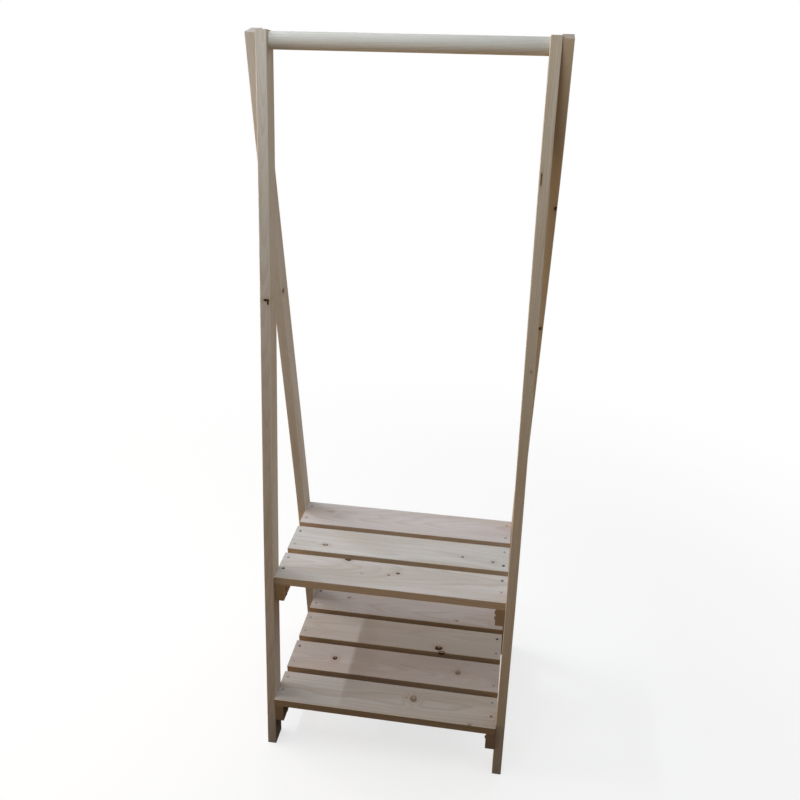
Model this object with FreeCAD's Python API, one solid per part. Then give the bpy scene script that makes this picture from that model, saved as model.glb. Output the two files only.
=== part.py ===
# Open frame wardrobe: two leaning leg frames, a round hanging rail and two slatted shelves.
# Millimetres, +Z up, +X to the right seen from the front, origin on the floor under the middle.
import FreeCAD, Part
import math
import os

from FreeCAD import Vector

# Boards
leg_width = 45.0
leg_thickness = 21.0
bearer_height = 45.0
bearer_thickness = 21.0
slat_width = 95.0
slat_thickness = 21.0
arris = 1.0

# Leg frames: the spread is between the middles of the feet, whose legs cross at the rack's height.
# Where two legs cross they lie side by side, so each is sprung sideways above the upper shelf.
rack_height = 1592.0
foot_spread = 400.0
front_spring_share = 0.3
spring_handle_share = 0.15

# Shelves: heights are to the top of the slats
shelf_length = 526.0
slat_gap = 17.0
upper_shelf_height = 456.0
lower_shelf_height = 137.0
upper_slat_names = ("front", "middle", "rear")
lower_slat_names = ("front", "front_inner", "rear_inner", "rear")

# Hanging rail: the cover is the height of wood above it at the leg's top corner
rail_diameter = 32.0
rail_cover = 4.0

# Slat screws: countersunk, two at each end of a slat, at shares of its width from the front
slat_screw_length = 42.0
slat_screw_diameter = 4.0
slat_screw_head = 8.0
slat_screw_inset = 12.0
front_slat_screw_shares = (0.37, 0.81)
slat_screw_shares = (0.22, 0.78)

# Bearer screws: heads proud of the inner face, one above the other at each leg, at heights from the bottom
bearer_screw_length = 38.0
bearer_screw_diameter = 4.0
bearer_screw_head = 8.0
bearer_screw_rise = 2.5
bearer_screw_heights = (7.0, 23.0)

# Rail screws: countersunk, one through each pair of legs into the end of the rail
rail_screw_length = 84.0
rail_screw_diameter = 6.0
rail_screw_head = 11.0

# All screws: flat sides round the shank, and the shares of the length or head that taper
screw_sides = 12
point_share = 0.15
crown_share = 0.6

cut_overrun = 10.0

# Places worked out from the sizes above
lean = math.atan(foot_spread / 2 / rack_height)
leg_depth = leg_width / math.cos(lean)
floor_depth = foot_spread + leg_depth
leg_length = rack_height / math.cos(lean)
lap_height = rack_height * (1 - leg_depth / foot_spread)
leg_inside = shelf_length / 2
front_spring = -leg_thickness * front_spring_share
rear_spring = leg_thickness + front_spring
lap_outside = leg_inside + rear_spring + leg_thickness
rail_height = rack_height - rail_cover - rail_diameter / 2
rail_length = shelf_length + 2 * front_spring


def mirrored(shape):
    """The right-hand shape's mirror image on the left."""
    return shape.mirror(Vector(), Vector(1, 0, 0))


def add_pair(nodes, name, right):
    """Adds a right-hand piece and its mirror image on the left."""
    nodes[f"{name}_right"] = right
    nodes[f"{name}_left"] = mirrored(right)


def eased(board, section):
    """The board with the edges that are longer than its section lightly chamfered."""
    edges = [edge for edge in board.Edges if edge.Length > section + cut_overrun]
    return board.makeChamfer(arris, edges)


def faceted(profile):
    """Solid of flat sides round Z, from (radius, height) points that start and end on the axis."""
    turns = [2 * math.pi * side / screw_sides for side in range(screw_sides + 1)]
    rings = []
    for radius, height in profile:
        rings.append([Vector(radius * math.cos(turn), radius * math.sin(turn), height) for turn in turns])
    faces = []
    for ring, after in zip(rings, rings[1:]):
        for side in range(screw_sides):
            corners = [ring[side], ring[side + 1], after[side + 1], after[side]]
            outline = [corner for spot, corner in enumerate(corners) if corner != corners[spot - 1]]
            faces.append(Part.Face(Part.makePolygon(outline + outline[:1])))
    return Part.Solid(Part.Shell(faces)).removeSplitter()


def countersunk_screw(length, diameter, head):
    """Screw with a flat head whose top is at the origin, its point down."""
    return faceted([
        (0, -length),
        (diameter / 2, length * (point_share - 1)),
        (diameter / 2, (diameter - head) / 2),
        (head / 2, 0),
        (0, 0),
    ])


def proud_screw(length, diameter, head, rise):
    """Screw whose head stands on a surface at the origin, its point down."""
    return faceted([
        (0, -length),
        (diameter / 2, length * (point_share - 1)),
        (diameter / 2, 0),
        (head / 2, 0),
        (head / 2, rise * (1 - crown_share)),
        (head / 2 * crown_share, rise),
        (0, rise),
    ])


def driven(screw, turn, place):
    """The screw turned about Y and put at its place."""
    screw.rotate(Vector(), Vector(0, 1, 0), turn)
    screw.translate(place)
    return screw


def sprung_edge(side, start, end, spring):
    """Long edge of a leg from foot to top: straight, eased sideways by the spring, straight again."""
    handle = (end - start) * spring_handle_share
    bend = Part.BezierCurve()
    bend.setPoles([
        Vector(side, 0, start),
        Vector(side, 0, start + handle),
        Vector(side + spring, 0, end - handle),
        Vector(side + spring, 0, end),
    ])
    return [
        Part.makeLine(Vector(side, 0, 0), Vector(side, 0, start)),
        bend.toShape(),
        Part.makeLine(Vector(side + spring, 0, end), Vector(side + spring, 0, leg_length)),
    ]


def right_front_leg(spring):
    """Leg drawn across its thickness, carried along its width, leaned back and cut off at the floor."""
    start = upper_shelf_height / math.cos(lean) + leg_width * math.tan(lean)
    end = lap_height / math.cos(lean)
    inner = sprung_edge(leg_inside, start, end, spring)
    outer = sprung_edge(leg_inside + leg_thickness, start, end, spring)
    foot = Part.makeLine(inner[0].Vertexes[0].Point, outer[0].Vertexes[0].Point)
    top = Part.makeLine(inner[-1].Vertexes[-1].Point, outer[-1].Vertexes[-1].Point)
    outline = Part.Wire(Part.sortEdges(inner + outer + [foot, top])[0])
    leg = eased(Part.Face(outline).extrude(Vector(0, leg_width, 0)), leg_width)
    leg.rotate(Vector(), Vector(1, 0, 0), -math.degrees(lean))
    leg.translate(Vector(0, -floor_depth / 2, 0))
    ground = Part.makeBox(shelf_length, 2 * floor_depth, leg_width, Vector(0, -floor_depth, -leg_width))
    return leg.cut(ground)


def right_rear_leg(spring):
    """Leg that leans forward: a front leg turned front to back."""
    return right_front_leg(spring).mirror(Vector(), Vector(0, 1, 0))


def slat(front, height):
    """Slat with its front edge at a given Y and its top at a given height."""
    corner = Vector(-shelf_length / 2, front, height - slat_thickness)
    return eased(Part.makeBox(shelf_length, slat_width, slat_thickness, corner), slat_width)


def right_bearer(depth, top):
    """Bearer of a given depth and top height, against the inner faces of the right-hand legs."""
    corner = Vector(leg_inside - bearer_thickness, -depth / 2, top - bearer_height)
    return eased(Part.makeBox(bearer_thickness, depth, bearer_height, corner), bearer_height)


def right_slat_screws(front, height, shares):
    """The screws at the right-hand end of a slat."""
    screws = []
    for share in shares:
        screw = countersunk_screw(slat_screw_length, slat_screw_diameter, slat_screw_head)
        screw.translate(Vector(leg_inside - slat_screw_inset, front + slat_width * share, height))
        screws.append(screw)
    return screws


def right_front_bearer_screws(depth, top):
    """The screws from a right-hand bearer into the front leg, in the middle of where the two meet."""
    middle = top - bearer_height / 2
    leg_front = middle * math.tan(lean) - floor_depth / 2
    place = (max(leg_front, -depth / 2) + leg_front + leg_depth) / 2
    screws = []
    for height in bearer_screw_heights:
        seat = Vector(leg_inside - bearer_thickness, place, top - bearer_height + height)
        screw = proud_screw(bearer_screw_length, bearer_screw_diameter, bearer_screw_head, bearer_screw_rise)
        screws.append(driven(screw, -90, seat))
    return screws


def shelf(prefix, slat_names, height):
    """Nodes of one shelf by name, with the screws that enter the right-hand front and rear legs."""
    depth = len(slat_names) * (slat_width + slat_gap) - slat_gap
    nodes = {}
    slat_screws = []
    for number, name in enumerate(slat_names):
        front = number * (slat_width + slat_gap) - depth / 2
        shares = slat_screw_shares if number else front_slat_screw_shares
        screws = right_slat_screws(front, height, shares)
        nodes[f"{prefix}_slat_{name}"] = slat(front, height).cut(screws + [mirrored(s) for s in screws])
        slat_screws += screws
    front_screws = right_front_bearer_screws(depth, height - slat_thickness)
    rear_screws = [screw.mirror(Vector(), Vector(0, 1, 0)) for screw in front_screws]
    bearer = right_bearer(depth, height - slat_thickness)
    add_pair(nodes, f"{prefix}_bearer", bearer.cut(slat_screws + front_screws + rear_screws))
    add_pair(nodes, f"{prefix}_slat_screws", Part.makeCompound(slat_screws))
    add_pair(nodes, f"{prefix}_bearer_screws", Part.makeCompound(front_screws + rear_screws))
    return nodes, front_screws, rear_screws


def rack():
    """Every piece of the rack by its node's name."""
    upper, upper_front, upper_rear = shelf("upper", upper_slat_names, upper_shelf_height)
    lower, lower_front, lower_rear = shelf("lower", lower_slat_names, lower_shelf_height)
    screw = countersunk_screw(rail_screw_length, rail_screw_diameter, rail_screw_head)
    rail_screw = driven(screw, 90, Vector(lap_outside, 0, rail_height))
    rail = Part.makeCylinder(rail_diameter / 2, rail_length,
                             Vector(-rail_length / 2, 0, rail_height), Vector(1, 0, 0))
    nodes = {**upper, **lower}
    nodes["hanging_rail"] = rail.cut([rail_screw, mirrored(rail_screw)])
    add_pair(nodes, "front_leg", right_front_leg(front_spring).cut(upper_front + lower_front + [rail_screw]))
    add_pair(nodes, "rear_leg", right_rear_leg(rear_spring).cut(upper_rear + lower_rear + [rail_screw]))
    add_pair(nodes, "rail_screw", rail_screw)
    return nodes


os.makedirs("parts", exist_ok=True)
for node, shape in rack().items():
    shape.exportStep(f"parts/{node}.step")
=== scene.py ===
"""Looks of an open frame wardrobe: raw pine boards with grain and knots, and cross-head screws."""

import math
from collections import namedtuple

import bpy
import numpy as np
from bpy.props import FloatProperty, FloatVectorProperty, IntProperty, PointerProperty
from mathutils import Euler, Matrix, Vector


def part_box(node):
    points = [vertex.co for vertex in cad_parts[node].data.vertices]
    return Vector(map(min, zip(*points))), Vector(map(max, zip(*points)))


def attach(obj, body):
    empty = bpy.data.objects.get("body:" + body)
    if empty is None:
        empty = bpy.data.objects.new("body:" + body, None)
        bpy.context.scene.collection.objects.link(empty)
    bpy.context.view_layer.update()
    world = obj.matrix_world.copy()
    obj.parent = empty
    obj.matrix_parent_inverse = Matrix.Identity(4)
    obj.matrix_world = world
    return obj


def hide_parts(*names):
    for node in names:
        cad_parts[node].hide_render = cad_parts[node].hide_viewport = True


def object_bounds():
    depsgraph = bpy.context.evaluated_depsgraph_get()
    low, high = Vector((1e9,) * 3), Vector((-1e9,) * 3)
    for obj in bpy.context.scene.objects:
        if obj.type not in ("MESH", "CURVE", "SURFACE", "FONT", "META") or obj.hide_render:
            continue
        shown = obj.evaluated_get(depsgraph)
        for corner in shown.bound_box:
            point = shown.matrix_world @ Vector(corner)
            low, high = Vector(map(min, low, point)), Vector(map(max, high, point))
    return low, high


bl_info = {
    "name": "Open frame wardrobe",
    "version": (1, 0, 0),
    "blender": (4, 5, 0),
    "location": "View3D > Sidebar > Wardrobe",
    "description": "Dresses the wardrobe's frame in raw pine and puts it on a pale floor",
    "category": "Object",
}

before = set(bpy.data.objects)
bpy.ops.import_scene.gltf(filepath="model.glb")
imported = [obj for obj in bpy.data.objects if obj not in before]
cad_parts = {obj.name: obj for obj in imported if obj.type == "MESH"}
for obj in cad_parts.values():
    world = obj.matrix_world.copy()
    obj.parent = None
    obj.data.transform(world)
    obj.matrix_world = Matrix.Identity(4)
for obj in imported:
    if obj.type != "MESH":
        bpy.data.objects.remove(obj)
cad_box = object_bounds()

BODY = "root"

# Legs: width, and slope from the feet's half spread and the rack's height
LEG_WIDTH = 0.045
FOOT_HALF_SPREAD = 0.2
LEAN = math.atan(FOOT_HALF_SPREAD / cad_box[1][2])

# Directions along a board's grain and across its face
Lie = namedtuple("Lie", "grain across")
SLAT_LIE = Lie(Vector((1, 0, 0)), Vector((0, 1, 0)))
BEARER_LIE = Lie(Vector((0, 1, 0)), Vector((0, 0, 1)))
FRONT_LEG_LIE = Lie(Vector((0, math.sin(LEAN), math.cos(LEAN))), Vector((1, 0, 0)))
REAR_LEG_LIE = Lie(Vector((0, -math.sin(LEAN), math.cos(LEAN))), Vector((1, 0, 0)))

# Boards by group, the slats from the front of each shelf to its rear
LEGS = {
    "front_leg_left": FRONT_LEG_LIE,
    "front_leg_right": FRONT_LEG_LIE,
    "rear_leg_left": REAR_LEG_LIE,
    "rear_leg_right": REAR_LEG_LIE,
}
RAIL = "hanging_rail"
BEARERS = (
    "upper_bearer_left",
    "upper_bearer_right",
    "lower_bearer_left",
    "lower_bearer_right",
)
SHELVES = {
    "upper": ("upper_slat_front", "upper_slat_middle", "upper_slat_rear"),
    "lower": (
        "lower_slat_front",
        "lower_slat_front_inner",
        "lower_slat_rear_inner",
        "lower_slat_rear",
    ),
}
SIDES = {"left": -1, "right": 1}

# Screws as in the frame: length, and radii of shank and head
ScrewSize = namedtuple("ScrewSize", "length shank head")
SLAT_SCREW = ScrewSize(0.042, 0.002, 0.004)
BEARER_SCREW = ScrewSize(0.038, 0.002, 0.004)
RAIL_SCREW = ScrewSize(0.084, 0.003, 0.0055)
BEARER_SCREW_RISE = 0.0025
SHANK_SHARE = 0.85

# Slat screws: inset from a slat's end, and shares of the slat's width from its front
SLAT_SCREW_INSET = 0.012
FRONT_SLAT_SCREW_SHARES = (0.37, 0.81)
SLAT_SCREW_SHARES = (0.22, 0.78)

# Cross in a screw's head: half an arm's width, its wall, its depth and the length that runs out,
# as shares of its reach, and the widest angles from an arm's line that its sides take
ARM_HALF, ARM_WALL, ARM_DEPTH, ARM_RUN_OUT = 0.19, 0.05, 0.55, 0.5
ARM_ANGLE, WALL_ANGLE = 0.70, 0.74

# Rings of points on a head, as shares of the cross's reach and then of a proud head's radius
CROSS_RINGS = (0, 0.19, 0.27, 0.34, 0.5, 0.75, 1.0, 1.06)
PROUD_RIM_RINGS = (0.78, 0.88, 0.95, 0.985)

# Flush head: share of its countersink that it fills, and the bevel and thickness of its rim
FLUSH_FILL = 0.98
BEVEL_WIDTH, BEVEL_DROP = 0.0002, 0.0001
RIM_TAPER, RIM_THICKNESS = 0.00005, 0.0003

# Turn from one screw to the next, and the angle above which a screw's edges look sharp
SCREW_TURN = 2.4
SHARP_ANGLE = math.radians(35)

# How bright screws are worn, from 0 to 1, slat screws from the front of the shelf to its rear
BEARER_SCREW_WEAR = 0.0
RAIL_SCREW_WEAR = 0.2
SLAT_SCREW_WEAR = {
    "upper_slat_screws_left": (0.1, 0.85, 0.95, 0.7, 1.0, 0.6),
    "upper_slat_screws_right": (1.0, 0.3, 0.1, 0.9, 0.8, 1.0),
    "lower_slat_screws_left": (0.6, 0.65, 0.85, 0.3, 0.85, 0.95, 0.6, 0.0),
    "lower_slat_screws_right": (0.5, 0.7, 0.7, 0.8, 0.6, 0.0, 0.6, 0.7),
}

# Each board's tint on the common pine, in the order of the boards' numbers: partly the board's own
# tone, partly painted shade, darker and warmer on the lower slats, the bearers and the rear right
# leg, which stand in more shade
BOARD_TINTS_AND_SHADE = {
    "front_leg_left": (0.925, 0.93, 0.90),
    "front_leg_right": (0.93, 0.885, 0.775),
    "rear_leg_left": (0.96, 0.98, 0.97),
    "rear_leg_right": (0.87, 0.75, 0.56),
    "hanging_rail": (0.94, 1.0, 1.0),
    "upper_bearer_left": (1.12, 0.90, 0.60),
    "upper_bearer_right": (0.92, 0.78, 0.62),
    "lower_bearer_left": (0.86, 0.74, 0.60),
    "lower_bearer_right": (0.88, 0.76, 0.62),
    "upper_slat_front": (0.97, 0.98, 0.99),
    "upper_slat_middle": (0.985, 1.01, 1.02),
    "upper_slat_rear": (1.0, 0.98, 1.01),
    "lower_slat_front": (0.77, 0.75, 0.73),
    "lower_slat_front_inner": (0.845, 0.795, 0.78),
    "lower_slat_rear_inner": (0.89, 0.855, 0.82),
    "lower_slat_rear": (0.84, 0.80, 0.80),
}
BOARD_NUMBERS = {name: number for number, name in enumerate(BOARD_TINTS_AND_SHADE, 1)}

# A knot's centre, its radius, how much longer it is along the grain, how dark it is from 0 to 1,
# and how much longer it is through the board
Knot = namedtuple("Knot", "centre radius stretch dark deep")
THROUGH = 8.0

# Slat knots: distance along X from the middle, share of the width from the front, then as above
SLAT_KNOTS = {
    "upper_slat_front": (
        (-0.110, 0.985, 0.0050, 1.5, 1.0, 1.5),
        (0.013, 0.65, 0.0031, 1.4, 1.0, THROUGH),
        (-0.007, 0.55, 0.0020, 1.6, 0.8, THROUGH),
        (-0.069, 0.51, 0.0018, 2.0, 0.3, THROUGH),
    ),
    "upper_slat_middle": (
        (-0.177, 0.30, 0.0038, 1.8, 0.6, THROUGH),
        (0.154, 0.40, 0.0024, 1.4, 0.9, THROUGH),
        (0.226, 0.32, 0.0027, 1.3, 0.8, THROUGH),
    ),
    "upper_slat_rear": (
        (-0.195, 0.62, 0.0030, 2.2, 0.15, THROUGH),
    ),
    "lower_slat_front": (
        (0.064, 0.61, 0.0092, 0.85, 0.45, THROUGH),
        (0.047, 0.62, 0.0014, 1.4, 0.8, THROUGH),
        (0.203, 0.02, 0.0034, 1.4, 0.5, 1.0),
    ),
    "lower_slat_front_inner": (
        (-0.151, 0.49, 0.0058, 1.0, 1.0, THROUGH),
        (0.161, 0.52, 0.0070, 0.95, 0.5, THROUGH),
    ),
    "lower_slat_rear_inner": (
        (0.104, 0.16, 0.0068, 1.3, 1.0, THROUGH),
        (0.113, 0.0, 0.0060, 1.3, 0.85, 1.2),
    ),
    "lower_slat_rear": (
        (-0.165, 0.62, 0.0026, 1.6, 0.6, THROUGH),
        (0.139, 0.16, 0.0022, 1.5, 0.7, THROUGH),
    ),
}

# Leg knots: X, height, then as above, and how far behind the front face their centres are
LEG_KNOTS = {
    "front_leg_left": (
        (-0.2660, 1.0925, 0.0058, 0.45, 1.0, 1.2, 0.0),
        (-0.2622, 1.089, 0.0026, 2.1, 1.0, 1.2, 0.0),
    ),
    "front_leg_right": (
        (0.2615, 1.350, 0.0014, 8.0, 0.9, 1.0, 0.0),
        (0.2736, 0.984, 0.0020, 1.3, 0.35, 1.0, 0.0),
    ),
    "rear_leg_left": (
        (-0.2730, 1.066, 0.0034, 1.2, 0.8, 1.8, 0.0106),
    ),
    "rear_leg_right": (
        (0.2945, 1.282, 0.0030, 1.2, 1.0, 2.0, 0.0),
        (0.2872, 1.021, 0.0030, 1.3, 1.0, 2.0, 0.0),
    ),
}

# Form of a knot, in shares of its radius: ragged outline, where its core and its bark end, how far
# the bark's opening is set aside and where it ends, and the bell of bent rings round it
RAGGED_SCALE, RAGGED_DETAIL = 0.9, 1.0
KNOT_LEAST, KNOT_RAGGED = 0.7, 0.6
CORE_EDGE = (0.85, 1.1)
BARK_EDGE = (0.95, 1.2)
BARK_ASIDE = 0.45
BARK_OPENING = (0.3, 0.75)
BELL_FALL = -0.22
BELL_LIFT = 1.3

# Noise in the pine, with its grain along X: factors for the position, and the noise's own values
Noise = namedtuple("Noise", "factors scale detail roughness")
WAVER = Noise((0.9, 6.0, 6.0), 3.0, 2.0, 0.5)
FIBRE = Noise((0.03, 1.0, 1.0), 900.0, 3.0, 0.65)
STREAK = Noise((0.12, 1.0, 1.0), 26.0, 3.0, 0.5)
CANAL = Noise((0.06, 1.0, 1.0), 2100.0, 1.0, 0.5)
NOISE_MIDDLE = (0.5, 0.5, 0.5)

# Grain: how far the rings waver, where in a year the latewood starts and peaks, the least strength
# of a year, where streaks and resin canals begin and end in their noise, and how much they shade
WAVER_REACH = (0.0, 0.02, 0.02)
LATEWOOD_START, LATEWOOD_PEAK = 0.25, 0.88
YEAR_LEAST = 0.4
STREAK_EDGE = (0.38, 0.72)
CANAL_EDGE = (0.62, 0.74)
CANAL_SHADE = 0.16
FIBRE_SHADE, FIBRE_LEAST = 0.22, 0.89

# How a board lay in its tree: most slant about Y and Z, step along the pith from one board to the
# next, spread sideways, depth of the pith and its spread, and the angles that spread the boards
SLANT_Y, SLANT_Z = 0.045, 0.03
PITH_STEP, PITH_ASIDE, PITH_DEPTH, PITH_SPREAD = 1.37, 0.03, 0.05, 0.025
SLANT_ANGLES = (1.7, 2.3)
PITH_ANGLES = (2.9, 1.1)

# Faces of a board, by how squarely they face along the grain, sideways or both, and the shares of
# the colours that they take: sideways faces darker and warmer, partly their own colour and partly
# painted warm shade; long corners paler, partly sanding and partly a painted highlight
END_FACING, END_SHARE = (0.6, 0.9), 0.7
EDGE_FACING, LEG_SAWN_AND_SHADE_SHARE = (0.75, 0.95), 0.6
CORNER_FACING, ARRIS_AND_HIGHLIGHT_SHARE = (0.25, 0.5), 0.6

# Shares of warmth and latewood round a knot, and what rings, fibres and ends add to the surface
HALO_WARMTH, HALO_LATEWOOD = 0.35, 0.45
RING_RELIEF = 0.5
FIBRE_ROUGHNESS, END_ROUGHNESS = 0.2, 0.2

# Screw steel: noise of its blotches, where the rubbed edges show in them, and its surface
BLOTCH_SCALE, BLOTCH_DETAIL = 900.0, 3.0
RUBBED_EDGE = (0.35, 0.6)
BLOTCH_ROUGHNESS, LEAST_ROUGHNESS = 0.3, 0.25
BLOTCH_RELIEF = 0.00003
METALLIC = 0.8

# Floor: half its side, and ranges of distance from the middle over which it turns white in view,
# from a first share, over which its light turns from near to far, and over which that light rises
FLOOR_HALF = 30.0
WHITE_RANGE, WHITE_LEAST = (0.5, 2.2), 0.7
TINT_RANGE = (1.2, 3.6)
BOUNCE_RANGE = (0.22, 1.15)

# Lamps: place, point to aim at, and length and height
Lamp = namedtuple("Lamp", "place aim size")
KEY = Lamp((-1.61, 0.3, 2.6), (0.0, 0.3, 0.5), (1.2, 0.08))
FRONT = Lamp((-0.2, -0.6, 2.2), (0.0, 0.0, 0.7), (0.7, 0.7))
SIDE = Lamp((-3.0, 0.0, 0.72), (0.0, 0.0, 0.72), (3.0, 1.4))
FILL = Lamp((0.95, 0.05, 0.75), (-0.2, 0.0, 1.0), (0.9, 0.45))

# Daylight, by the upward share of its direction: how tightly it gathers overhead, and between
# which shares the low light behind rises and fades
SKY_GATHER = 3.0
REAR_RISE = (0.06, 0.24)
REAR_FADE = (0.0, 0.7)

WHITE = (1.0, 1.0, 1.0, 1.0)
VIEW_END = 200.0


class PineLook(bpy.types.PropertyGroup):
    """Colours and grain of the raw pine."""

    sapwood: FloatVectorProperty(
        name="Sapwood", description="Pale wood of most of a board", subtype="COLOR",
        min=0, max=1, default=(0.57, 0.49, 0.41))
    heartwood: FloatVectorProperty(
        name="Heartwood", description="Warmer wood in broad streaks", subtype="COLOR",
        min=0, max=1, default=(0.52, 0.43, 0.34))
    latewood: FloatVectorProperty(
        name="Latewood", description="Dark side of each growth ring", subtype="COLOR",
        min=0, max=1, default=(0.42, 0.31, 0.22))
    # Narrow faces darker and warmer: partly their own colour, partly painted warm shade as from
    # light bounced between the boards and up from below
    sawn_edge_and_shade: FloatVectorProperty(
        name="Sawn edge", description="Tint of a board's narrow faces", subtype="COLOR",
        min=0, max=1, default=(0.97, 0.86, 0.72))
    # Long corners paler: partly sanding, partly a painted highlight
    arris_and_highlight: FloatVectorProperty(
        name="Arris", description="Sanded corners along a board", subtype="COLOR",
        min=0, max=1, default=(0.72, 0.60, 0.47))
    end_grain: FloatVectorProperty(
        name="End grain", description="Rough sawn ends of a board", subtype="COLOR",
        min=0, max=1, default=(0.31, 0.26, 0.21))
    knot: FloatVectorProperty(
        name="Knot", description="Middle of a knot", subtype="COLOR",
        min=0, max=1, default=(0.30, 0.17, 0.09))
    knot_rim: FloatVectorProperty(
        name="Knot rim", description="Bark on one side of a knot", subtype="COLOR",
        min=0, max=1, default=(0.03, 0.016, 0.01))
    ring_pitch: FloatProperty(
        name="Ring pitch", description="Distance from one growth ring to the next", unit="LENGTH",
        min=0.0005, default=0.0036)
    ring_strength: FloatProperty(
        name="Ring strength", description="Share of latewood's colour in a ring", subtype="FACTOR",
        min=0, max=1, default=0.42)
    roughness: FloatProperty(
        name="Roughness", description="Roughness of the planed face", subtype="FACTOR",
        min=0, max=1, default=0.62)
    relief: FloatProperty(
        name="Relief", description="Height of the grain on a planed face", unit="LENGTH",
        min=0, default=0.00012)


class ScrewLook(bpy.types.PropertyGroup):
    """Finish and form of the screws."""

    steel: FloatVectorProperty(
        name="Steel", description="Dark coating of the screws", subtype="COLOR",
        min=0, max=1, default=(0.035, 0.031, 0.028))
    bare: FloatVectorProperty(
        name="Bare steel", description="Worn heads, and edges that the driver has rubbed",
        subtype="COLOR", min=0, max=1, default=(0.38, 0.36, 0.33))
    sink: FloatProperty(
        name="Sink", description="Depth of a flush head below the wood", unit="LENGTH",
        min=0, default=0.0002)
    arm_share: FloatProperty(
        name="Arm share", description="Reach of the cross as a share of the head's radius",
        subtype="FACTOR", min=0.1, max=1, default=0.62)
    fan: IntProperty(
        name="Fan", description="Columns from an arm's wall to the middle of the quarter",
        min=2, default=4)


class StageLook(bpy.types.PropertyGroup):
    """Camera, floor and light."""

    eye: FloatVectorProperty(
        name="Eye", description="Where the camera stands", subtype="TRANSLATION",
        unit="LENGTH", default=(0.24530, -1.62530, 1.65268))
    turn: FloatProperty(
        name="Turn", description="Turn of the camera to the left of straight ahead",
        unit="ROTATION", default=0.151551)
    tilt: FloatProperty(
        name="Tilt", description="Tilt of the camera below the horizon",
        unit="ROTATION", default=0.453751)
    roll: FloatProperty(
        name="Roll", description="Roll of the camera", unit="ROTATION", default=0.014431)
    focal_share: FloatProperty(
        name="Focal share", description="Focal length as a share of the picture's width",
        default=1.041368)
    floor: FloatVectorProperty(
        name="Floor", description="Colour of the floor in view", subtype="COLOR",
        min=0, max=1, default=(0.97, 0.90, 0.80))
    daylight: FloatVectorProperty(
        name="Daylight", description="Colour of the light from above and behind", subtype="COLOR",
        min=0, max=1, default=(0.67, 0.79, 1.0))
    lit_ceiling: FloatVectorProperty(
        name="Lit ceiling", description="Colour of the light from above in front", subtype="COLOR",
        min=0, max=1, default=(0.745, 0.855, 1.0))
    lamplight: FloatVectorProperty(
        name="Lamplight", description="Colour of the light from the left", subtype="COLOR",
        min=0, max=1, default=(1.0, 0.81, 0.58))
    fill_light: FloatVectorProperty(
        name="Fill light", description="Colour of the light from the right", subtype="COLOR",
        min=0, max=1, default=(0.66, 0.86, 1.0))
    near_floor: FloatVectorProperty(
        name="Near floor", description="Colour of the light from the floor round the wardrobe",
        subtype="COLOR", min=0, max=1, default=(1.0, 0.60, 0.27))
    far_floor: FloatVectorProperty(
        name="Far floor", description="Colour of the light from the floor further off",
        subtype="COLOR", min=0, max=1, default=(0.86, 0.90, 0.94))
    key_power: FloatProperty(
        name="Key power", description="Power of the long lamp above on the left",
        unit="POWER", default=37)
    front_power: FloatProperty(
        name="Front power", description="Power of the soft lamp above in front",
        unit="POWER", default=9.4)
    side_power: FloatProperty(
        name="Side power", description="Power of the wide soft light on the left",
        unit="POWER", default=68)
    fill_power: FloatProperty(
        name="Fill power", description="Power of the soft lamp on the right",
        unit="POWER", default=2.2)
    sky: FloatProperty(
        name="Sky", description="Strength of the light from straight above", default=0.56)
    rear: FloatProperty(
        name="Rear", description="Strength of the light from low down behind", default=8.4)
    bounce: FloatProperty(
        name="Bounce", description="Strength of the light from the floor", default=0.43)


class Wires:
    """Adds nodes to a tree and joins them: a value is a socket to link or a constant to set."""

    def __init__(self, tree):
        self.tree = tree

    def add(self, kind, inputs=(), **settings):
        """A node of a kind, with its settings and its inputs by name or number."""
        node = self.tree.nodes.new(kind)
        for name, value in settings.items():
            setattr(node, name, value)
        for key, value in dict(inputs).items():
            self.put(node.inputs[key], value)
        return node

    def put(self, socket, value):
        """Links a socket into an input, or sets the input's constant."""
        if isinstance(value, bpy.types.NodeSocket):
            self.tree.links.new(value, socket)
        else:
            socket.default_value = value

    def math(self, operation, *values):
        """The result of one step of arithmetic."""
        return self.add("ShaderNodeMath", enumerate(values), operation=operation).outputs[0]

    def vector(self, operation, *values):
        """The result of one step of vector arithmetic: a number where the step gives one."""
        node = self.add("ShaderNodeVectorMath", enumerate(values), operation=operation)
        return node.outputs["Value" if operation in ("DOT_PRODUCT", "LENGTH") else "Vector"]

    def step(self, value, low, high, start=0.0, end=1.0):
        """The value eased from low to high into start to end."""
        inputs = {"Value": value, "From Min": low, "From Max": high, "To Min": start, "To Max": end}
        node = self.add("ShaderNodeMapRange", inputs, interpolation_type="SMOOTHSTEP")
        return node.outputs["Result"]

    def mix(self, share, first, second, blend="MIX"):
        """Two colours mixed by a share of the second."""
        node = self.add("ShaderNodeMix", data_type="RGBA", blend_type=blend)
        sockets = {socket.identifier: socket for socket in node.inputs}
        self.put(sockets["Factor_Float"], share)
        self.put(sockets["A_Color"], first)
        self.put(sockets["B_Color"], second)
        return next(socket for socket in node.outputs if socket.identifier == "Result_Color")

    def noise(self, position, scale, detail=2.0, roughness=0.5, output="Fac"):
        """Fractal noise at a position."""
        inputs = {"Vector": position, "Scale": scale, "Detail": detail, "Roughness": roughness}
        return self.add("ShaderNodeTexNoise", inputs).outputs[output]


def colour(value):
    """A colour property as the four numbers that a socket takes."""
    return (*value, 1.0)


def new_material(name):
    """A material without nodes yet, and its wires."""
    material = bpy.data.materials.new(name)
    material.use_nodes = True
    material.node_tree.nodes.clear()
    return material, Wires(material.node_tree)


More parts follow.
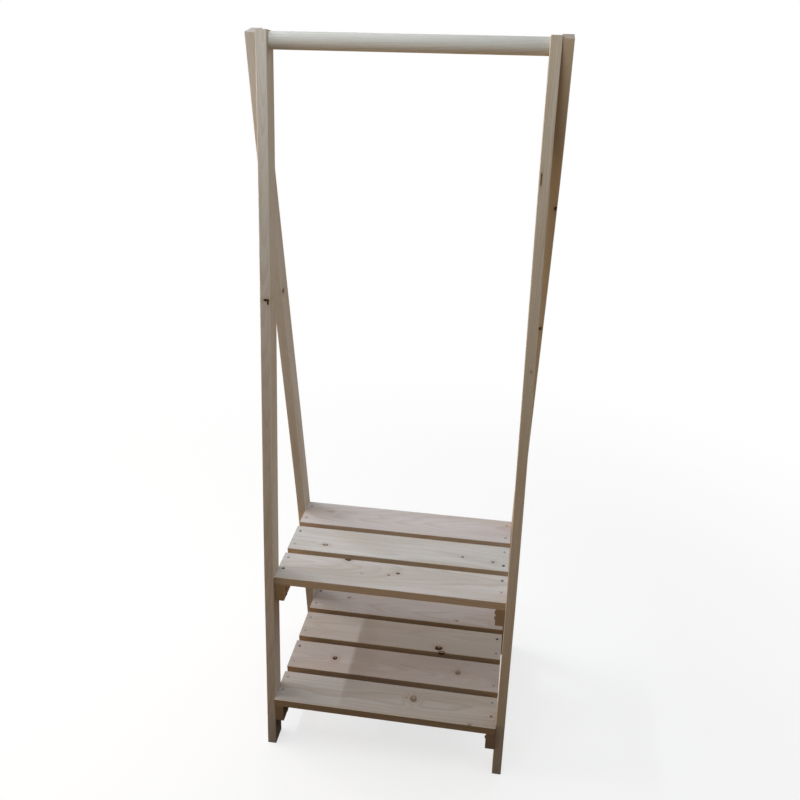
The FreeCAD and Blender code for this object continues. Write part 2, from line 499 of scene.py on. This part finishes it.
def node_group(name, inputs, outputs):
    """An empty node group with the named float, vector and colour sockets, and its wires."""
    kinds = {"float": "NodeSocketFloat", "vector": "NodeSocketVector", "colour": "NodeSocketColor"}
    tree = bpy.data.node_groups.new(name, "ShaderNodeTree")
    for socket, kind in inputs.items():
        tree.interface.new_socket(socket, in_out="INPUT", socket_type=kinds[kind])
    for socket, kind in outputs.items():
        tree.interface.new_socket(socket, in_out="OUTPUT", socket_type=kinds[kind])
    wires = Wires(tree)
    return wires, wires.add("NodeGroupInput").outputs, wires.add("NodeGroupOutput").inputs


def knot_group():
    """A branch's end in a board: a ragged egg with bark on one side, which lifts the rings."""
    name = "Knot"
    if name in bpy.data.node_groups:
        return bpy.data.node_groups[name]
    wires, given, result = node_group(
        name,
        {"Position": "vector", "Centre": "vector", "Grain": "vector", "Across": "vector",
         "Through": "vector", "Radius": "float", "Stretch": "float", "Deep": "float"},
        {"Core": "float", "Rim": "float", "Halo": "float", "Lift": "float"})
    radius = given["Radius"]
    away = wires.vector("SUBTRACT", given["Position"], given["Centre"])
    along = wires.vector("DOT_PRODUCT", away, given["Grain"])
    along = wires.math("DIVIDE", along, given["Stretch"])
    across = wires.vector("DOT_PRODUCT", away, given["Across"])
    through = wires.vector("DOT_PRODUCT", away, given["Through"])
    through = wires.math("DIVIDE", through, given["Deep"])
    local = wires.add("ShaderNodeCombineXYZ", {0: along, 1: across, 2: through}).outputs[0]
    share = wires.math("DIVIDE", wires.vector("LENGTH", local), radius)
    scale = wires.math("DIVIDE", RAGGED_SCALE, radius)
    ragged = wires.noise(given["Position"], scale, RAGGED_DETAIL)
    ragged = wires.math("MULTIPLY_ADD", ragged, KNOT_RAGGED, KNOT_LEAST)
    share = wires.math("MULTIPLY", share, ragged)
    wires.put(result["Core"], wires.step(share, *CORE_EDGE, 1.0, 0.0))

    aside = wires.math("MULTIPLY", radius, BARK_ASIDE)
    aside = wires.add("ShaderNodeCombineXYZ", {1: aside}).outputs[0]
    inside = wires.vector("LENGTH", wires.vector("SUBTRACT", local, aside))
    opening = wires.step(wires.math("DIVIDE", inside, radius), *BARK_OPENING)
    bark = wires.step(share, *BARK_EDGE, 1.0, 0.0)
    wires.put(result["Rim"], wires.math("MULTIPLY", bark, opening))

    square = wires.math("MULTIPLY", share, share)
    bell = wires.math("POWER", math.e, wires.math("MULTIPLY", square, BELL_FALL))
    wires.put(result["Halo"], bell)
    lift = wires.math("MULTIPLY", bell, radius)
    wires.put(result["Lift"], wires.math("MULTIPLY", lift, BELL_LIFT))
    return wires.tree


def grain_group(look):
    """Pine as a solid: growth rings round X that waver with slow noise, and fibres along X."""
    name = "Pine grain"
    if name in bpy.data.node_groups:
        return bpy.data.node_groups[name]
    wires, given, result = node_group(
        name, {"Position": "vector", "Lift": "float", "Warmth": "float"},
        {"Colour": "colour", "Ring": "float", "Fibre": "float"})

    def noise(kind, output="Fac"):
        """Noise of one kind, drawn out along the grain."""
        position = wires.vector("MULTIPLY", given["Position"], kind.factors)
        return wires.noise(position, kind.scale, kind.detail, kind.roughness, output)

    waver = wires.vector("SUBTRACT", noise(WAVER, "Color"), NOISE_MIDDLE)
    bent = wires.vector("ADD", given["Position"], wires.vector("MULTIPLY", waver, WAVER_REACH))
    reach = wires.vector("LENGTH", wires.vector("MULTIPLY", bent, (0.0, 1.0, 1.0)))
    rings = wires.math("DIVIDE", wires.math("ADD", reach, given["Lift"]), look.ring_pitch)
    part = wires.math("FRACT", rings)
    late = wires.math("MULTIPLY", wires.step(part, LATEWOOD_START, LATEWOOD_PEAK),
                      wires.step(part, LATEWOOD_PEAK, 1.0, 1.0, 0.0))
    year = wires.add("ShaderNodeTexWhiteNoise", {"W": wires.math("FLOOR", rings)},
                     noise_dimensions="1D").outputs["Value"]
    year = wires.math("MULTIPLY_ADD", year, 1 - YEAR_LEAST, YEAR_LEAST)
    late = wires.math("MULTIPLY", late, year)

    warm = wires.step(wires.math("ADD", noise(STREAK), given["Warmth"]), *STREAK_EDGE)
    tone = wires.mix(warm, colour(look.sapwood), colour(look.heartwood))
    dark = wires.math("MULTIPLY", late, look.ring_strength)
    tone = wires.mix(dark, tone, colour(look.latewood))

    fibre = noise(FIBRE)
    shade = wires.math("MULTIPLY_ADD", fibre, FIBRE_SHADE, FIBRE_LEAST)
    canals = wires.step(noise(CANAL), *CANAL_EDGE, 0.0, CANAL_SHADE)
    shade = wires.math("SUBTRACT", shade, canals)
    grey = wires.add("ShaderNodeCombineColor", {0: shade, 1: shade, 2: shade}).outputs[0]
    wires.put(result["Colour"], wires.mix(1.0, tone, grey, "MULTIPLY"))
    wires.put(result["Ring"], late)
    wires.put(result["Fibre"], fibre)
    return wires.tree


def board_turn(lie):
    """Turn that takes the board's grain to X, its face's width to Y and its depth to Z."""
    return Matrix((lie.grain, lie.across, lie.grain.cross(lie.across)))


def tree_place(number):
    """How a numbered board lay in its tree: its slant, and its middle's place from the pith."""
    slant_y = SLANT_Y * math.sin(SLANT_ANGLES[0] * number)
    slant_z = SLANT_Z * math.cos(SLANT_ANGLES[1] * number)
    aside = PITH_ASIDE * math.sin(PITH_ANGLES[0] * number)
    depth = PITH_DEPTH + PITH_SPREAD * math.cos(PITH_ANGLES[1] * number)
    return Euler((0.0, slant_y, slant_z)).to_matrix(), Vector((PITH_STEP * number, aside, depth))


def pine(name, look, lie, knots=(), sawn=1.0, eased_and_highlit=True, pale_ends=False):
    """Pine for one board, cut from its own place in a tree.

    Its narrow faces take a share of the narrow faces' colour, partly their own and partly painted
    warm shade, and its long corners are paler by sanding and a painted highlight where asked. Pale
    ends don't take the board's tint with its painted shade.
    """
    material, wires = new_material(name)
    place = wires.add("ShaderNodeTexCoord").outputs
    turn = board_turn(lie)
    slant, pith = tree_place(BOARD_NUMBERS[name])
    grown = slant @ turn
    on_board = wires.add("ShaderNodeMapping", {
        "Vector": place["Object"],
        "Rotation": grown.to_euler(),
        "Location": pith - grown @ middle(name),
    })
    facing = wires.add("ShaderNodeMapping", {
        "Vector": place["Normal"],
        "Rotation": turn.to_euler(),
    }, vector_type="NORMAL").outputs[0]
    facing = wires.add("ShaderNodeSeparateXYZ", {0: wires.vector("ABSOLUTE", facing)}).outputs

    core = rim = halo = lift = 0.0
    for knot in knots:
        branch = wires.add("ShaderNodeGroup", {
            "Position": place["Object"],
            "Centre": knot.centre,
            "Grain": lie.grain,
            "Across": lie.across,
            "Through": lie.grain.cross(lie.across),
            "Radius": knot.radius,
            "Stretch": knot.stretch,
            "Deep": knot.deep,
        }, node_tree=knot_group()).outputs
        core = wires.math("MAXIMUM", core, wires.math("MULTIPLY", branch["Core"], knot.dark))
        rim = wires.math("MAXIMUM", rim, wires.math("MULTIPLY", branch["Rim"], knot.dark))
        halo = wires.math("MAXIMUM", halo, wires.math("MULTIPLY", branch["Halo"], knot.dark))
        lift = wires.math("ADD", lift, branch["Lift"])

    grain = wires.add("ShaderNodeGroup", {
        "Position": on_board.outputs[0],
        "Lift": lift,
        "Warmth": wires.math("MULTIPLY", halo, HALO_WARMTH),
    }, node_tree=grain_group(look)).outputs
    ringed = wires.math("MULTIPLY", halo, HALO_LATEWOOD)
    tone = wires.mix(ringed, grain["Colour"], colour(look.latewood))
    tone = wires.mix(core, tone, colour(look.knot))
    tone = wires.mix(rim, tone, colour(look.knot_rim))

    end = wires.step(facing["X"], *END_FACING)
    # The board's tint: its own tone, and painted shade where the board stands in shade
    tint = colour(BOARD_TINTS_AND_SHADE[name])
    if pale_ends:
        tone = wires.mix(1.0, tone, tint, "MULTIPLY")
    tone = wires.mix(wires.math("MULTIPLY", end, END_SHARE), tone, colour(look.end_grain))
    # Sideways faces darker and warmer: their own colour and painted warm shade
    edge = wires.step(facing["Y"], *EDGE_FACING, 0.0, sawn)
    tone = wires.mix(edge, tone, colour(look.sawn_edge_and_shade), "MULTIPLY")
    if not pale_ends:
        tone = wires.mix(1.0, tone, tint, "MULTIPLY")
    # Long corners paler: sanding and a painted highlight
    if eased_and_highlit:
        corner = wires.math("MULTIPLY", facing["Y"], facing["Z"])
        corner = wires.step(corner, *CORNER_FACING, 0.0, ARRIS_AND_HIGHLIGHT_SHARE)
        tone = wires.mix(corner, tone, colour(look.arris_and_highlight))

    height = wires.math("MULTIPLY_ADD", grain["Ring"], RING_RELIEF, grain["Fibre"])
    height = wires.math("SUBTRACT", height, rim)
    bump = wires.add("ShaderNodeBump", {"Height": height, "Distance": look.relief, "Strength": 1.0})
    smoothest = look.roughness - FIBRE_ROUGHNESS / 2
    rough = wires.math("MULTIPLY_ADD", grain["Fibre"], FIBRE_ROUGHNESS, smoothest)
    rough = wires.math("MULTIPLY_ADD", end, END_ROUGHNESS, rough)
    shader = wires.add("ShaderNodeBsdfPrincipled", {
        "Base Color": tone,
        "Roughness": rough,
        "Normal": bump.outputs[0],
        "Specular IOR Level": 0.0,
    })
    wires.add("ShaderNodeOutputMaterial", {"Surface": shader.outputs[0]})
    return material


def dress(node, material):
    """Gives a carried-over board its material."""
    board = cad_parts[node]
    board.data.materials.clear()
    board.data.materials.append(material)


def middle(node):
    """Middle of a node's box."""
    low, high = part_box(node)
    return (low + high) / 2


def slat_knots(node):
    """The knots of a slat at their places on its upper face."""
    low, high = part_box(node)
    knots = []
    for along, share, *form in SLAT_KNOTS.get(node, ()):
        centre = Vector((along, low.y + share * (high.y - low.y), high.z))
        knots.append(Knot(centre, *form))
    return knots


def leg_knots(node, lie):
    """The knots of a leg at their places, on its front face or behind it."""
    low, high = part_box(node)
    start = low.y if lie is FRONT_LEG_LIE else high.y - LEG_WIDTH / math.cos(LEAN)
    knots = []
    for side, height, *form, behind in LEG_KNOTS.get(node, ()):
        centre = Vector((side, start + height * lie.grain.y / lie.grain.z + behind, height))
        knots.append(Knot(centre, *form))
    return knots


def cross_head(crown, under, reach, fan):
    """One screw, its axis on Z and its head up, with how rubbed each point is.

    Crown and under are (radius, height) points turned round Z, from the middle of the head to the
    tip. A cross sinks the crown: full depth within half an arm's width of an arm's line, none past
    its wall, and running out towards the reach. Columns follow the arms' sides at every radius,
    then fan out evenly between them.
    """
    half, wall, depth = ARM_HALF * reach, ARM_WALL * reach, ARM_DEPTH * reach
    rows = np.array(crown[1:] + under[:-1])
    radius, height = rows[:, :1], rows[:, 1:]
    inner = np.arcsin(np.minimum(half / radius, math.sin(ARM_ANGLE)))
    outer = np.arcsin(np.minimum((half + wall) / radius, math.sin(WALL_ANGLE)))
    between = outer + (math.pi / 4 - outer) * np.linspace(0, 1, fan + 1)
    eighth = np.hstack([0 * inner, inner, between])
    quarter = np.hstack([eighth, math.pi / 2 - eighth[:, -2:0:-1]])
    turn = np.hstack([quarter + math.pi / 2 * number for number in range(4)])
    off = radius * np.sin(np.abs((turn + math.pi / 4) % (math.pi / 2) - math.pi / 4))
    on_crown = (np.arange(len(rows)) < len(crown) - 1)[:, None]
    run = np.clip((reach - radius) / (ARM_RUN_OUT * reach), 0, 1) * on_crown
    sunk = depth * run * np.clip(1 - (off - half) / wall, 0, 1)
    grid = np.stack([radius * np.cos(turn), radius * np.sin(turn), height - sunk], axis=2)
    bottom = crown[0][1] - depth
    points = np.vstack([grid.reshape(-1, 3), [(0, 0, bottom), (0, 0, under[-1][1])]])
    lip = np.exp(-((off - half - wall) / wall) ** 2) * (run > 0)
    rim = np.exp(-((radius - crown[-1][0]) / wall) ** 2) * (height > under[0][1])
    rubbed = np.append(np.maximum(lip, rim + 0 * lip).reshape(-1), (0, 0))

    number = np.arange(grid.shape[0] * grid.shape[1]).reshape(grid.shape[:2])
    after = np.roll(number, -1, axis=1)
    quads = np.stack([number[:-1], number[1:], after[1:], after[:-1]], axis=2).reshape(-1, 4)
    top, tip = number.size, number.size + 1
    caps = [np.stack([0 * number[0] + top, number[0], after[0]], axis=1),
            np.stack([0 * number[0] + tip, after[-1], number[-1]], axis=1)]
    return points, rubbed, quads, np.vstack(caps)


def drive(node, screw, places, out, wear, material):
    """Copies of a screw for a screws' node, heads facing out, each with its own turn and wear."""
    points, rubbed, quads, caps = screw
    number = np.arange(len(places))
    turn = (SCREW_TURN * number + len(node))[:, None]
    x, y, z = points.T
    spun = np.stack([
        x * np.cos(turn) - y * np.sin(turn),
        x * np.sin(turn) + y * np.cos(turn),
        z + 0 * turn,
    ], axis=2)
    side = Vector((0, 1, 0))
    standing = np.array((side.cross(out), side, out))
    heads = np.array(places)[:, None] + spun @ standing
    shift = number[:, None, None] * len(points)
    faces = (quads + shift).reshape(-1, 4).tolist()
    faces += (caps + shift).reshape(-1, 3).tolist()
    name = node.replace("screw", "cross_head_screw")
    mesh = bpy.data.meshes.new(name)
    mesh.from_pydata(heads.reshape(-1, 3).tolist(), [], faces)
    shown = {"rubbed": np.tile(rubbed, len(places)), "worn": np.repeat(wear, len(points))}
    for kind, values in shown.items():
        mesh.attributes.new(kind, "FLOAT", "POINT").data.foreach_set("value", values)
    mesh.shade_smooth()
    mesh.set_sharp_from_angle(angle=SHARP_ANGLE)
    mesh.materials.append(material)
    piece = bpy.data.objects.new(name, mesh)
    bpy.context.scene.collection.objects.link(piece)
    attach(piece, BODY)
    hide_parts(node)


def flush_screw(size, look):
    """Screw whose flat head lies just under the wood's face, at the origin, in its countersink."""
    top = -look.sink
    edge = size.head * FLUSH_FILL - look.sink
    reach = edge * look.arm_share
    crown = [(share * reach, top) for share in CROSS_RINGS]
    crown += [(edge - BEVEL_WIDTH, top), (edge, top - BEVEL_DROP)]
    under = [
        (edge - RIM_TAPER, top - RIM_THICKNESS),
        (size.shank, top - RIM_THICKNESS - edge + size.shank),
        (size.shank, -SHANK_SHARE * size.length),
        (0, -size.length),
    ]
    return cross_head(crown, under, reach, look.fan)


def proud_head_screw(size, rise, look):
    """Screw whose rounded head stands on a face at the origin, falling off as the fourth power."""
    reach = size.head * look.arm_share
    radii = [share * reach for share in CROSS_RINGS]
    radii += [share * size.head for share in PROUD_RIM_RINGS]
    crown = [(radius, rise * math.sqrt(1 - (radius / size.head) ** 4)) for radius in radii]
    under = [
        (size.head, 0.0),
        (size.shank, 0.0),
        (size.shank, -SHANK_SHARE * size.length),
        (0, -size.length),
    ]
    return cross_head(crown, under, reach, look.fan)


def screw_steel(look):
    """Dark coated steel, blotched, worn by each screw's own share and bare at rim and cross."""
    name = "screw_steel"
    if name in bpy.data.materials:
        return bpy.data.materials[name]
    material, wires = new_material(name)
    place = wires.add("ShaderNodeTexCoord").outputs["Object"]
    blotch = wires.noise(place, BLOTCH_SCALE, BLOTCH_DETAIL)
    rubbed = wires.add("ShaderNodeAttribute", attribute_name="rubbed").outputs["Fac"]
    rubbed = wires.math("MULTIPLY", rubbed, wires.step(blotch, *RUBBED_EDGE))
    worn = wires.add("ShaderNodeAttribute", attribute_name="worn").outputs["Fac"]
    bare = wires.math("MAXIMUM", worn, rubbed)
    bump = wires.add("ShaderNodeBump", {"Height": blotch, "Distance": BLOTCH_RELIEF})
    shader = wires.add("ShaderNodeBsdfPrincipled", {
        "Base Color": wires.mix(bare, colour(look.steel), colour(look.bare)),
        "Roughness": wires.math("MULTIPLY_ADD", blotch, BLOTCH_ROUGHNESS, LEAST_ROUGHNESS),
        "Metallic": METALLIC,
        "Normal": bump.outputs[0],
    })
    wires.add("ShaderNodeOutputMaterial", {"Surface": shader.outputs[0]})
    return material


class WARDROBE_OT_legs(bpy.types.Operator):
    """Gives the four leaning legs their pine"""

    bl_idname = "wardrobe.legs"
    bl_label = "Legs"

    def execute(self, context):
        look = context.scene.wardrobe_pine
        for node, lie in LEGS.items():
            knots = leg_knots(node, lie)
            dress(node, pine(node, look, lie, knots, sawn=LEG_SAWN_AND_SHADE_SHARE, pale_ends=True))
        return {"FINISHED"}


class WARDROBE_OT_rail(bpy.types.Operator):
    """Gives the hanging rail its pine"""

    bl_idname = "wardrobe.rail"
    bl_label = "Rail"

    def execute(self, context):
        look = context.scene.wardrobe_pine
        dress(RAIL, pine(RAIL, look, SLAT_LIE, sawn=0.0, eased_and_highlit=False))
        return {"FINISHED"}


class WARDROBE_OT_bearers(bpy.types.Operator):
    """Gives the bearers under the shelves their pine"""

    bl_idname = "wardrobe.bearers"
    bl_label = "Bearers"

    def execute(self, context):
        look = context.scene.wardrobe_pine
        for node in BEARERS:
            dress(node, pine(node, look, BEARER_LIE))
        return {"FINISHED"}


class WARDROBE_OT_slats(bpy.types.Operator):
    """Gives the slats of both shelves their pine and knots"""

    bl_idname = "wardrobe.slats"
    bl_label = "Slats"

    def execute(self, context):
        look = context.scene.wardrobe_pine
        for slats in SHELVES.values():
            for node in slats:
                dress(node, pine(node, look, SLAT_LIE, slat_knots(node)))
        return {"FINISHED"}


class WARDROBE_OT_slat_screws(bpy.types.Operator):
    """Drives the flush screws at both ends of every slat"""

    bl_idname = "wardrobe.slat_screws"
    bl_label = "Slat screws"

    def execute(self, context):
        look = context.scene.wardrobe_screws
        screw = flush_screw(SLAT_SCREW, look)
        for shelf, slats in SHELVES.items():
            for side, sign in SIDES.items():
                places = []
                for slat in slats:
                    low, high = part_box(slat)
                    x = sign * (high.x - SLAT_SCREW_INSET)
                    shares = FRONT_SLAT_SCREW_SHARES if slat == slats[0] else SLAT_SCREW_SHARES
                    for share in shares:
                        places.append((x, low.y + share * (high.y - low.y), high.z))
                node = f"{shelf}_slat_screws_{side}"
                wear = SLAT_SCREW_WEAR[node]
                drive(node, screw, places, Vector((0, 0, 1)), wear, screw_steel(look))
        return {"FINISHED"}


class WARDROBE_OT_bearer_screws(bpy.types.Operator):
    """Drives the screws that stand proud on the bearers' inner faces"""

    bl_idname = "wardrobe.bearer_screws"
    bl_label = "Bearer screws"

    def execute(self, context):
        look = context.scene.wardrobe_screws
        screw = proud_head_screw(BEARER_SCREW, BEARER_SCREW_RISE, look)
        head = BEARER_SCREW.head
        for shelf in SHELVES:
            for side, sign in SIDES.items():
                node = f"{shelf}_bearer_screws_{side}"
                low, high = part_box(node)
                tip = low.x if sign < 0 else high.x
                face = tip - sign * BEARER_SCREW.length
                places = []
                for y in (low.y + head, high.y - head):
                    for z in (low.z + head, high.z - head):
                        places.append((face, y, z))
                wear = [BEARER_SCREW_WEAR] * len(places)
                drive(node, screw, places, Vector((-sign, 0, 0)), wear, screw_steel(look))
        return {"FINISHED"}


class WARDROBE_OT_rail_screws(bpy.types.Operator):
    """Drives the screw through each pair of legs into the rail's end"""

    bl_idname = "wardrobe.rail_screws"
    bl_label = "Rail screws"

    def execute(self, context):
        look = context.scene.wardrobe_screws
        screw = flush_screw(RAIL_SCREW, look)
        for side, sign in SIDES.items():
            node = f"rail_screw_{side}"
            low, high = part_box(node)
            place = middle(node)
            place.x = low.x if sign < 0 else high.x
            wear = [RAIL_SCREW_WEAR]
            drive(node, screw, [place], Vector((sign, 0, 0)), wear, screw_steel(look))
        return {"FINISHED"}


def lay_floor(look):
    """A wide flat floor that is white in view, keeps a soft shadow and gives back light."""
    corners = np.array([(-1, -1, 0), (1, -1, 0), (1, 1, 0), (-1, 1, 0)]) * FLOOR_HALF
    mesh = bpy.data.meshes.new("floor")
    mesh.from_pydata(corners.tolist(), [], [(0, 1, 2, 3)])
    floor = bpy.data.objects.new("floor", mesh)
    bpy.context.scene.collection.objects.link(floor)
    material, wires = new_material("floor")
    away = wires.vector("LENGTH", wires.add("ShaderNodeTexCoord").outputs["Object"])
    matt = wires.add("ShaderNodeBsdfDiffuse", {"Color": colour(look.floor)}).outputs[0]
    white = wires.add("ShaderNodeEmission", {"Color": WHITE}).outputs[0]
    far = wires.step(away, *WHITE_RANGE, WHITE_LEAST, 1.0)
    seen = wires.add("ShaderNodeMixShader", {0: far, 1: matt, 2: white}).outputs[0]
    further = wires.step(away, *TINT_RANGE)
    back = wires.add("ShaderNodeEmission", {
        "Color": wires.mix(further, colour(look.near_floor), colour(look.far_floor)),
        "Strength": wires.step(away, *BOUNCE_RANGE, 0.0, look.bounce),
    }).outputs[0]
    shader = wires.add("ShaderNodeMixShader", {0: in_view(wires), 1: back, 2: seen})
    wires.add("ShaderNodeOutputMaterial", {"Surface": shader.outputs[0]})
    mesh.materials.append(material)


def in_view(wires):
    """One for rays from the camera and for rays that show the background in a gloss, else zero."""
    ray = wires.add("ShaderNodeLightPath").outputs
    seen = wires.math("MAXIMUM", ray["Is Camera Ray"], ray["Is Glossy Ray"])
    return wires.math("MAXIMUM", seen, ray["Is Transmission Ray"])


def placed(place, right, upward, back):
    """Where something stands, with the directions of its own X, Y and Z."""
    return Matrix.Translation(place) @ Matrix((right, upward, back)).transposed().to_4x4()


def hang_lamp(name, lamp, power, tint):
    """A rectangular soft lamp whose length lies level, across the way it shines."""
    light = bpy.data.lights.new(name, "AREA")
    light.shape = "RECTANGLE"
    light.size, light.size_y = lamp.size
    light.energy = power
    light.color = tint
    back = (Vector(lamp.place) - Vector(lamp.aim)).normalized()
    level = Vector((0, 0, 1)).cross(back).normalized()
    hung = bpy.data.objects.new(name, light)
    hung.matrix_world = placed(lamp.place, level, back.cross(level), back)
    bpy.context.scene.collection.objects.link(hung)


def hang_lights(look):
    """A long lamp above on the left, and soft lamps in front and on both sides."""
    hang_lamp("key", KEY, look.key_power, look.daylight)
    hang_lamp("front", FRONT, look.front_power, look.lit_ceiling)
    hang_lamp("side", SIDE, look.side_power, look.lamplight)
    hang_lamp("fill", FILL, look.fill_power, look.fill_light)


def set_daylight(scene, look):
    """White in view, and else daylight from overhead and from low down behind."""
    world = bpy.data.worlds.new("room")
    world.use_nodes = True
    world.node_tree.nodes.clear()
    wires = Wires(world.node_tree)
    way = wires.add("ShaderNodeTexCoord").outputs["Generated"]
    way = wires.add("ShaderNodeSeparateXYZ", {0: way}).outputs
    above = wires.math("POWER", wires.math("MAXIMUM", way["Z"], 0.0), SKY_GATHER)
    rise = wires.step(way["Z"], *REAR_RISE)
    low = wires.math("MULTIPLY", rise, wires.step(way["Z"], *REAR_FADE, look.rear, 0.0))
    behind = wires.math("MULTIPLY", wires.math("MAXIMUM", way["Y"], 0.0), low)
    day = wires.add("ShaderNodeBackground", {"Color": colour(look.daylight), "Strength": behind})
    overhead = wires.math("MULTIPLY", above, look.sky)
    ceiling = wires.add("ShaderNodeBackground", {"Color": WHITE, "Strength": overhead})
    light = wires.add("ShaderNodeAddShader", {0: day.outputs[0], 1: ceiling.outputs[0]}).outputs[0]
    white = wires.add("ShaderNodeBackground", {"Color": WHITE, "Strength": 1.0}).outputs[0]
    shader = wires.add("ShaderNodeMixShader", {0: in_view(wires), 1: light, 2: white})
    wires.add("ShaderNodeOutputWorld", {"Surface": shader.outputs[0]})
    scene.world = world


def set_camera(scene, look):
    """Camera that stands at the eye, turned left, tilted down and rolled as for the photograph."""
    level = Vector((-math.sin(look.turn), math.cos(look.turn), 0.0))
    ahead = level * math.cos(look.tilt) - Vector((0.0, 0.0, math.sin(look.tilt)))
    right = Vector((math.cos(look.turn), math.sin(look.turn), 0.0))
    upward = right.cross(ahead)
    rolled_right = right * math.cos(look.roll) + upward * math.sin(look.roll)
    rolled_up = upward * math.cos(look.roll) - right * math.sin(look.roll)
    lens = bpy.data.cameras.new("camera")
    lens.sensor_fit = "HORIZONTAL"
    lens.lens = look.focal_share * lens.sensor_width
    lens.clip_end = VIEW_END
    camera = bpy.data.objects.new("camera", lens)
    camera.matrix_world = placed(look.eye, rolled_right, rolled_up, -ahead)
    scene.collection.objects.link(camera)
    scene.camera = camera


class WARDROBE_OT_stage(bpy.types.Operator):
    """Sets the floor, the light and the camera"""

    bl_idname = "wardrobe.stage"
    bl_label = "Stage"

    def execute(self, context):
        look = context.scene.wardrobe_stage
        lay_floor(look)
        hang_lights(look)
        set_daylight(context.scene, look)
        set_camera(context.scene, look)
        context.scene.view_settings.view_transform = "Standard"
        return {"FINISHED"}


class WARDROBE_PT_panel(bpy.types.Panel):
    """Lists the steps that dress the wardrobe"""

    bl_idname = "WARDROBE_PT_panel"
    bl_label = "Open frame wardrobe"
    bl_space_type = "VIEW_3D"
    bl_region_type = "UI"
    bl_category = "Wardrobe"

    def draw(self, context):
        for step in STEPS:
            self.layout.operator(step.bl_idname)


LOOKS = {
    "wardrobe_pine": PineLook,
    "wardrobe_screws": ScrewLook,
    "wardrobe_stage": StageLook,
}
STEPS = (
    WARDROBE_OT_legs,
    WARDROBE_OT_rail,
    WARDROBE_OT_bearers,
    WARDROBE_OT_slats,
    WARDROBE_OT_slat_screws,
    WARDROBE_OT_bearer_screws,
    WARDROBE_OT_rail_screws,
    WARDROBE_OT_stage,
)


def register():
    for kind in (*LOOKS.values(), *STEPS, WARDROBE_PT_panel):
        bpy.utils.register_class(kind)
    for name, kind in LOOKS.items():
        setattr(bpy.types.Scene, name, PointerProperty(type=kind))


def unregister():
    for name in LOOKS:
        delattr(bpy.types.Scene, name)
    for kind in (WARDROBE_PT_panel, *reversed(STEPS), *reversed(LOOKS.values())):
        bpy.utils.unregister_class(kind)


def main():
    """Registers the add-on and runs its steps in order."""
    register()
    bpy.ops.wardrobe.legs()
    bpy.ops.wardrobe.rail()
    bpy.ops.wardrobe.bearers()
    bpy.ops.wardrobe.slats()
    bpy.ops.wardrobe.slat_screws()
    bpy.ops.wardrobe.bearer_screws()
    bpy.ops.wardrobe.rail_screws()
    bpy.ops.wardrobe.stage()


if __name__ == "__main__":
    main()
